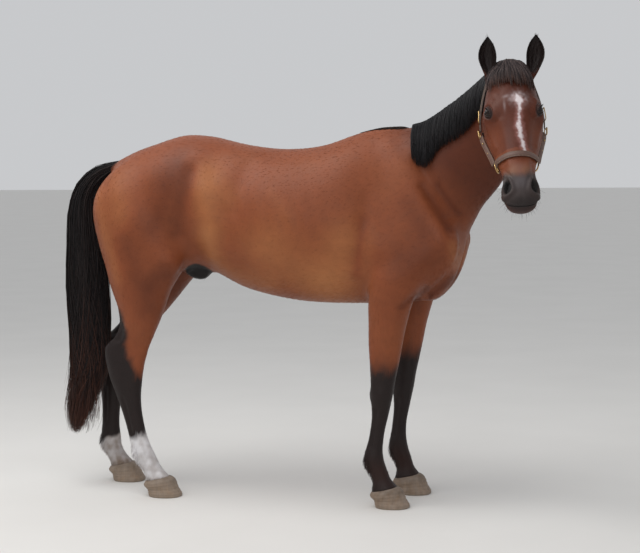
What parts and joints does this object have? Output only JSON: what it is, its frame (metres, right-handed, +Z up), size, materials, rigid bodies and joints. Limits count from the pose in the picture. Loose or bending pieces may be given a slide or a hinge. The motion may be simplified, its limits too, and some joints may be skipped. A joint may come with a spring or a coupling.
{
  "type": "horse",
  "caption": "Life-size standing bay horse with its neck bent to its right and its face turned square to the side, wearing a leather halter.",
  "frame": {"origin": "middle of the bottom of the bounding box, on the floor between the feet", "axes": "+X from the tail towards the breast, +Y towards the horse's left side, +Z up"},
  "size_m": [2.2242, 0.9448, 1.9616],
  "materials": {
    "coat": "short sleek summer coat, bay with black points, slight sheen",
    "eye": "dark brown, wet gloss",
    "hoof": "bare horn, fine growth rings, dusty",
    "hair": "long straight black hair, soft sheen",
    "halter_leather": "oiled brown leather, stitched edges",
    "halter_brass": "polished brass, slightly dulled"
  },
  "bodies": {
    "root": {"eye_right": "eye", "eye_left": "eye", "ear_right": "coat", "ear_left": "coat", "head": "coat", "foreleg_right": "coat", "forehoof_right": "hoof", "foreleg_left": "coat", "forehoof_left": "hoof", "hindleg_right": "coat", "hindhoof_right": "hoof", "hindleg_left": "coat", "hindhoof_left": "hoof", "neck": "coat", "trunk": "coat", "mane": "hair", "forelock": "hair", "tail": "hair", "halter_noseband": "halter_leather", "halter_crown": "halter_leather", "halter_jaw_strap": "halter_leather", "halter_throat_strap": "halter_leather", "halter_chin_strap": "halter_leather", "halter_cheek_right": "halter_leather", "halter_ring_right": "halter_brass", "halter_buckle_right": "halter_brass", "halter_cheek_left": "halter_leather", "halter_ring_left": "halter_brass", "halter_buckle_left": "halter_brass", "halter_ring_chin": "halter_brass"}
  },
  "joints": []
}
